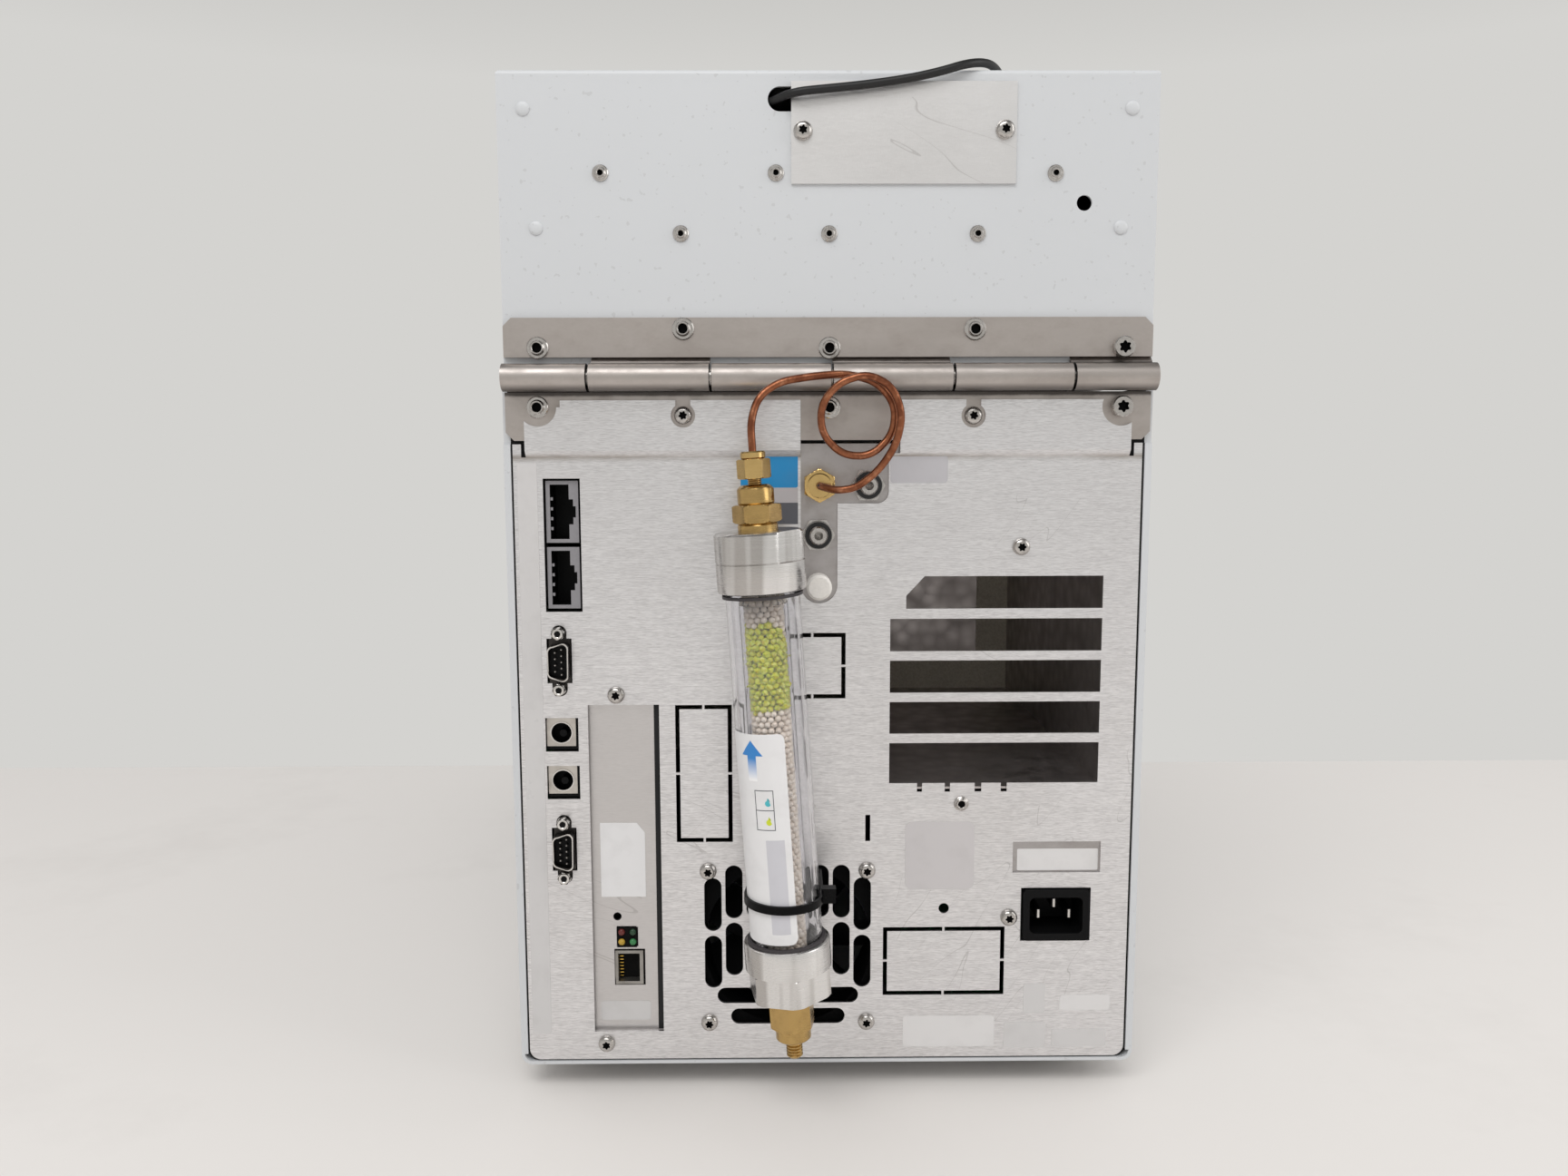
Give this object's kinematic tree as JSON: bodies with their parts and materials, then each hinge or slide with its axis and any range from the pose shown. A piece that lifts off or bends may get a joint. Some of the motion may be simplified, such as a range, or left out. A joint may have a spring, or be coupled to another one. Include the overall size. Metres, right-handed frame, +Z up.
{
  "type": "gas chromatograph",
  "caption": "Compact bench gas chromatograph with a rear-hinged lid, brushed rear service panel, gas inlet with a clear moisture trap, and an oven under the lid.",
  "frame": {"origin": "centre of the footprint, front cover to moisture trap, at the level the feet stand on", "axes": "+Z up, the front cover faces -Y, the rear service panel faces +Y, +X to the right seen from the front"},
  "size_m": [0.28, 0.5902, 0.4993],
  "materials": {
    "case_paint": "semi-matte powder coat",
    "lid_paint": "satin off-white paint",
    "moulding": "fine textured moulding",
    "dark_plastic": "matte black",
    "key_plastic": "satin key cap",
    "white_plastic": "smooth white",
    "stainless": "horizontal brushed grain",
    "steel": "satin",
    "zinc": "zinc plated",
    "nickel": "nickel plated",
    "aluminium": "turned and anodised",
    "brass": "machined",
    "copper": "drawn copper",
    "clear_plastic": "clear polycarbonate",
    "beads": "molecular sieve beads",
    "rubber": "matte",
    "circuit": "green solder mask",
    "insulation": "woven glass and fibre felt",
    "polyimide": "amber coated capillary"
  },
  "bodies": {
    "base": {"case_shell": "case_paint", "chassis_frame": "zinc", "feet": "rubber", "rear_panel": "stainless", "rear_fixings": "nickel", "hinge_lower_leaf": "steel", "hinge_pin": "steel", "gas_bracket": "steel", "gas_bulkheads": "nickel", "gas_manifold": "aluminium", "gas_port_cap": "white_plastic", "tube_nuts": "brass", "copper_tube": "copper", "trap_bottom_cap": "aluminium", "trap_top_cap": "aluminium", "trap_tube": "clear_plastic", "trap_beads": "beads", "trap_seals": "rubber", "trap_bottom_fitting": "brass", "trap_top_fitting": "brass", "cable_tie": "dark_plastic", "signal_sockets": "dark_plastic", "serial_ports": "nickel", "network_card": "zinc", "network_jack": "nickel", "mains_inlet": "dark_plastic", "main_board": "circuit", "power_board": "circuit", "fan_housing": "dark_plastic", "oven_liner": "stainless", "oven_insulation": "insulation", "oven_shroud": "stainless", "heater_coil": "steel", "oven_fan_motor": "zinc", "exhaust_duct": "zinc", "front_bezel": "moulding", "control_panel": "dark_plastic"},
    "lid": {"lid_shell": "lid_paint", "lid_bezel": "moulding", "lid_pan": "stainless", "lid_insulation": "insulation", "inlet_body": "steel", "detector_body": "steel", "column_basket": "steel", "column_coil": "polyimide", "cover_plate": "aluminium", "lid_fixings": "nickel", "signal_cable": "rubber", "cable_grommets": "dark_plastic", "hinge_upper_leaf": "steel"},
    "top_cover": {"top_cover": "moulding"},
    "latch": {"lid_latch": "dark_plastic"},
    "start": {"start_button": "key_plastic"},
    "stop": {"stop_button": "key_plastic"},
    "prep": {"prep_button": "key_plastic"},
    "rocker": {"power_switch": "dark_plastic"},
    "flap": {"exhaust_flap": "zinc"},
    "rotor": {"fan_rotor": "dark_plastic"},
    "blower": {"oven_fan": "steel"}
  },
  "joints": [
    {"name": "lid_hinge", "type": "hinge", "parent": "base", "child": "lid", "pos_m": [0, 0.25285, 0.3219], "axis": [-1, 0, 0], "range_deg": [0, 70]},
    {"name": "top_cover_hinge", "type": "hinge", "parent": "lid", "child": "top_cover", "pos_m": [0, -0.017, 0.457], "axis": [-1, 0, 0], "range_deg": [0, 100]},
    {"name": "latch_press", "type": "slide", "parent": "base", "child": "latch", "axis": [0, 1, 0], "range_m": [0, 0.004], "stiffness_N_per_m": 800, "springref_m": -0.001},
    {"name": "start_press", "type": "slide", "parent": "base", "child": "start", "axis": [0, 1, 0], "range_m": [0, 0.0015], "stiffness_N_per_m": 600, "springref_m": -0.0005},
    {"name": "stop_press", "type": "slide", "parent": "base", "child": "stop", "axis": [0, 1, 0], "range_m": [0, 0.0015], "stiffness_N_per_m": 600, "springref_m": -0.0005},
    {"name": "prep_press", "type": "slide", "parent": "base", "child": "prep", "axis": [0, 1, 0], "range_m": [0, 0.0015], "stiffness_N_per_m": 600, "springref_m": -0.0005},
    {"name": "power_rocker", "type": "hinge", "parent": "base", "child": "rocker", "pos_m": [0.105, -0.2882, 0.09], "axis": [-1, 0, 0], "range_deg": [0, 16]},
    {"name": "exhaust_flap_pivot", "type": "hinge", "parent": "base", "child": "flap", "pos_m": [0, 0.0306, 0.224], "axis": [1, 0, 0], "range_deg": [0, 70]},
    {"name": "cooling_fan_spin", "type": "hinge", "parent": "base", "child": "rotor", "pos_m": [0.0181, 0.2308, 0.0675], "axis": [0, 1, 0], "continuous": true},
    {"name": "oven_fan_spin", "type": "hinge", "parent": "base", "child": "blower", "pos_m": [0.022, 0.0026, 0.217], "axis": [0, 1, 0], "continuous": true}
  ]
}
